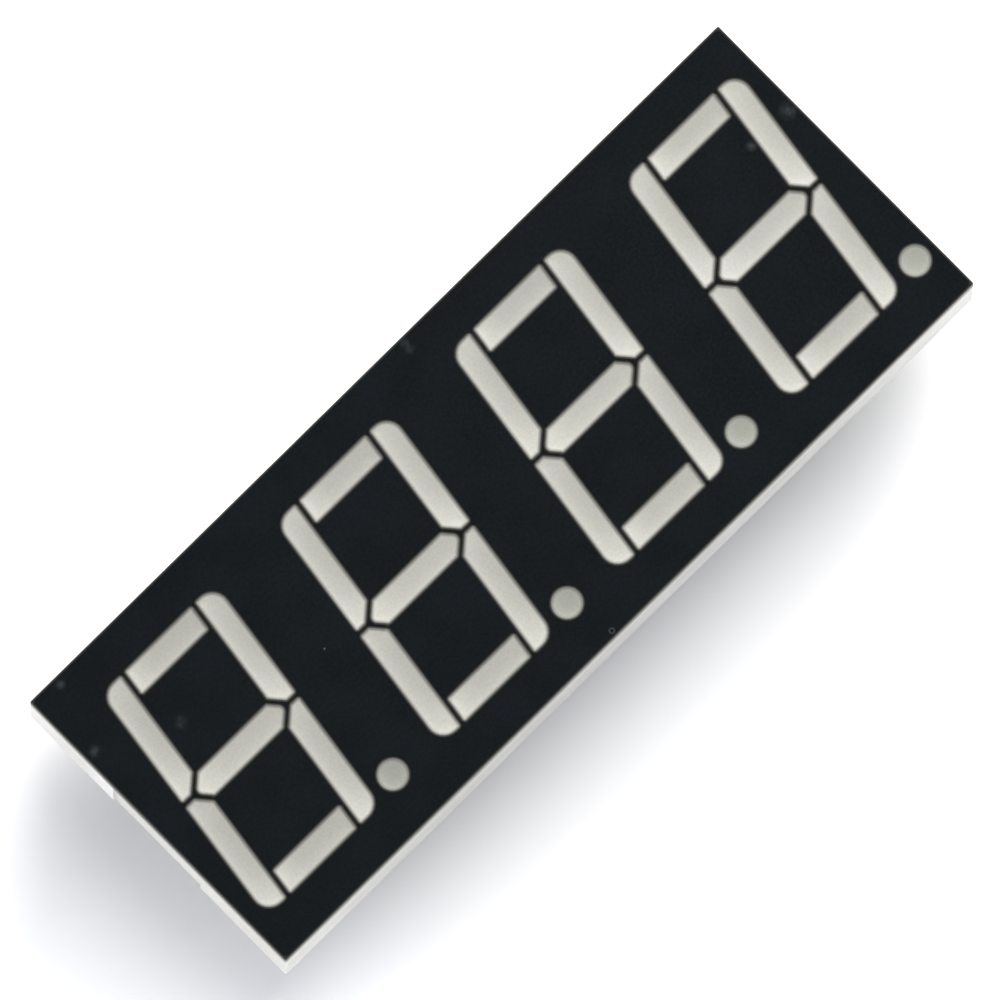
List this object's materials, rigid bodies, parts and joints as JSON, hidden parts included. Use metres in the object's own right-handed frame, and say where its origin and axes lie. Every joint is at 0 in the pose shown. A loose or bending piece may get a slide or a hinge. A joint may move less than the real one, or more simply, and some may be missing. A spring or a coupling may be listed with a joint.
{
  "type": "seven segment display module",
  "caption": "Seven segment numeral display module with leaning digits, a decimal point beside each, a black face in a white housing and two rows of through-hole pins behind.",
  "frame": {"origin": "centre of the pin field, on the plane of the back rim, where the body seats on a board", "axes": "+X along the reading direction, +Y up the digits, +Z out of the face"},
  "size_m": [0.0502, 0.019, 0.014],
  "materials": {
    "housing_plastic": "satin",
    "face_coat": "matte",
    "segment_epoxy": "satin",
    "board_laminate": "satin",
    "copper": "satin",
    "tinned_wire": "satin",
    "solder": "satin",
    "die_crystal": "gloss",
    "bond_wire": "gloss",
    "potting_epoxy": "satin"
  },
  "bodies": {
    "root": {"reflector_housing": "housing_plastic", "face_coat": "face_coat", "digit_1_segment_a": "segment_epoxy", "digit_1_segment_b": "segment_epoxy", "digit_1_segment_c": "segment_epoxy", "digit_1_segment_d": "segment_epoxy", "digit_1_segment_e": "segment_epoxy", "digit_1_segment_f": "segment_epoxy", "digit_1_segment_g": "segment_epoxy", "digit_1_point": "segment_epoxy", "digit_2_segment_a": "segment_epoxy", "digit_2_segment_b": "segment_epoxy", "digit_2_segment_c": "segment_epoxy", "digit_2_segment_d": "segment_epoxy", "digit_2_segment_e": "segment_epoxy", "digit_2_segment_f": "segment_epoxy", "digit_2_segment_g": "segment_epoxy", "digit_2_point": "segment_epoxy", "digit_3_segment_a": "segment_epoxy", "digit_3_segment_b": "segment_epoxy", "digit_3_segment_c": "segment_epoxy", "digit_3_segment_d": "segment_epoxy", "digit_3_segment_e": "segment_epoxy", "digit_3_segment_f": "segment_epoxy", "digit_3_segment_g": "segment_epoxy", "digit_3_point": "segment_epoxy", "digit_4_segment_a": "segment_epoxy", "digit_4_segment_b": "segment_epoxy", "digit_4_segment_c": "segment_epoxy", "digit_4_segment_d": "segment_epoxy", "digit_4_segment_e": "segment_epoxy", "digit_4_segment_f": "segment_epoxy", "digit_4_segment_g": "segment_epoxy", "digit_4_point": "segment_epoxy", "circuit_board": "board_laminate", "front_copper": "copper", "back_copper": "copper", "pin_1": "tinned_wire", "pin_2": "tinned_wire", "pin_3": "tinned_wire", "pin_4": "tinned_wire", "pin_5": "tinned_wire", "pin_6": "tinned_wire", "pin_7": "tinned_wire", "pin_8": "tinned_wire", "pin_9": "tinned_wire", "pin_10": "tinned_wire", "pin_11": "tinned_wire", "pin_12": "tinned_wire", "solder_joints": "solder", "digit_1_led_dies": "die_crystal", "digit_2_led_dies": "die_crystal", "digit_3_led_dies": "die_crystal", "digit_4_led_dies": "die_crystal", "digit_1_bond_wires": "bond_wire", "digit_2_bond_wires": "bond_wire", "digit_3_bond_wires": "bond_wire", "digit_4_bond_wires": "bond_wire", "back_potting": "potting_epoxy"}
  },
  "joints": []
}
